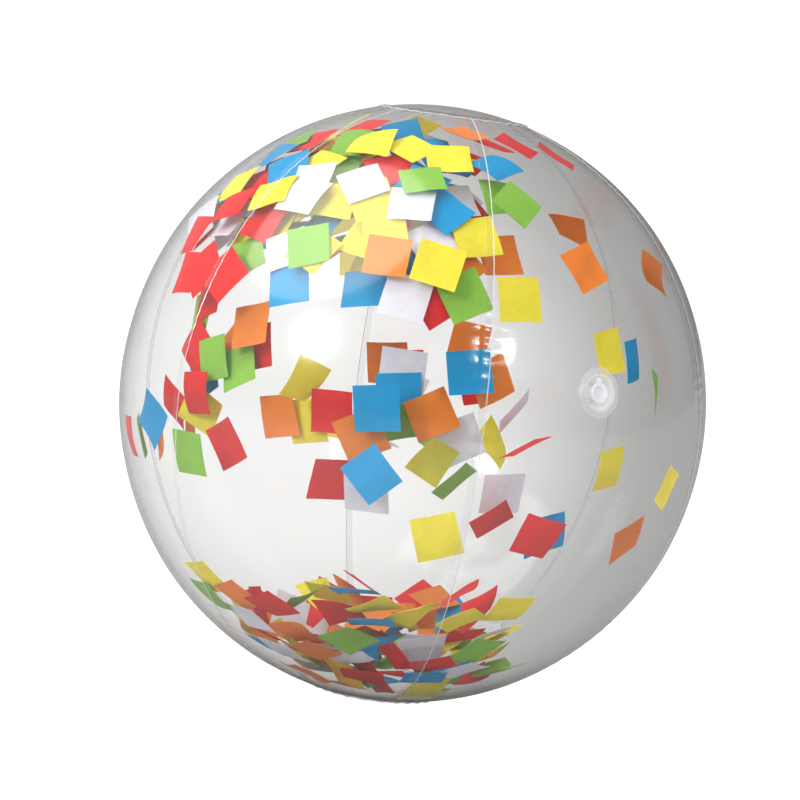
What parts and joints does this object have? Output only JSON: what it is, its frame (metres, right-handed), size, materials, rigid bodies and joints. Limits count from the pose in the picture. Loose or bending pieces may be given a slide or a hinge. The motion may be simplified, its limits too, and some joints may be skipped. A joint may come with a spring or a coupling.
{
  "type": "inflatable beach ball",
  "caption": "Round inflated ball of clear welded film gores and end caps, with a push-in valve and loose coloured paper squares inside.",
  "frame": {"origin": "centre of the ball", "axes": "+Z along the axis through the two end caps, away from the flat patch the ball rests on; the valve is on the -Y side, 12.3 degrees above the equator"},
  "size_m": [0.3494, 0.3486, 0.3558],
  "materials": {
    "clear_film": "glossy clear soft PVC film",
    "clear_valve": "moulded clear soft PVC",
    "yellow_paper": "matt coloured tissue paper",
    "orange_paper": "matt coloured tissue paper",
    "red_paper": "matt coloured tissue paper",
    "blue_paper": "matt coloured tissue paper",
    "green_paper": "matt coloured tissue paper",
    "white_paper": "matt coloured tissue paper"
  },
  "bodies": {
    "ball_skin": {"bottom_cap": "clear_film", "panel_1": "clear_film", "panel_2": "clear_film", "panel_3": "clear_film", "panel_4": "clear_film", "panel_5": "clear_film", "panel_6": "clear_film", "top_cap": "clear_film", "valve_flange": "clear_valve", "valve_sleeve": "clear_valve"},
    "stem": {"valve_stem": "clear_valve"},
    "plug": {"valve_plug": "clear_valve", "valve_strap": "clear_valve"},
    "check_flap": {"valve_flap": "clear_valve"},
    "confetti_crown": {"crown_blue_10": "blue_paper", "crown_blue_11": "blue_paper", "crown_blue_12": "blue_paper", "crown_blue_16": "blue_paper", "crown_green_04": "green_paper", "crown_green_13": "green_paper", "crown_orange_14": "orange_paper", "crown_orange_18": "orange_paper", "crown_red_17": "red_paper", "crown_red_19": "red_paper", "crown_white_08": "white_paper", "crown_white_09": "white_paper", "crown_yellow_01": "yellow_paper", "crown_yellow_02": "yellow_paper", "crown_yellow_03": "yellow_paper", "crown_yellow_05": "yellow_paper", "crown_yellow_06": "yellow_paper", "crown_yellow_07": "yellow_paper", "crown_yellow_15": "yellow_paper"},
    "confetti_middle": {"middle_blue_05": "blue_paper", "middle_blue_06": "blue_paper", "middle_green_01": "green_paper", "middle_green_02": "green_paper", "middle_orange_04": "orange_paper", "middle_orange_07": "orange_paper", "middle_orange_10": "orange_paper", "middle_orange_15": "orange_paper", "middle_red_03": "red_paper", "middle_red_08": "red_paper", "middle_red_11": "red_paper", "middle_red_14": "red_paper", "middle_white_13": "white_paper", "middle_yellow_09": "yellow_paper", "middle_yellow_12": "yellow_paper", "middle_yellow_16": "yellow_paper"},
    "confetti_core": {"core_orange_01": "orange_paper", "core_white_03": "white_paper", "core_yellow_02": "yellow_paper"},
    "confetti_pile": {"pile_blue_01": "blue_paper", "pile_blue_08": "blue_paper", "pile_green_03": "green_paper", "pile_orange_06": "orange_paper", "pile_red_04": "red_paper", "pile_red_07": "red_paper", "pile_white_05": "white_paper", "pile_yellow_02": "yellow_paper"}
  },
  "joints": [
    {"name": "stem_push", "type": "slide", "parent": "ball_skin", "child": "stem", "axis": [0, -0.9781, 0.2082], "range_m": [0, 0.014]},
    {"name": "plug_swing", "type": "hinge", "parent": "stem", "child": "plug", "pos_m": [0, -0.16684, 0.04505], "axis": [-1, 0, 0], "range_deg": [0, 100]},
    {"name": "check_flap_swing", "type": "hinge", "parent": "stem", "child": "check_flap", "pos_m": [0, -0.15533, 0.03882], "axis": [1, 0, 0], "range_deg": [0, 60]},
    {"name": "crown_swirl", "type": "hinge", "parent": "ball_skin", "child": "confetti_crown", "pos_m": [0, 0, 0], "axis": [0, 0, 1], "continuous": true},
    {"name": "middle_swirl", "type": "hinge", "parent": "ball_skin", "child": "confetti_middle", "pos_m": [0, 0, 0], "axis": [0, 0, 1], "continuous": true},
    {"name": "core_swirl", "type": "hinge", "parent": "ball_skin", "child": "confetti_core", "pos_m": [0, 0, 0], "axis": [0, 0, 1], "continuous": true},
    {"name": "pile_swirl", "type": "hinge", "parent": "ball_skin", "child": "confetti_pile", "pos_m": [0, 0, 0], "axis": [0, 0, 1], "continuous": true}
  ]
}
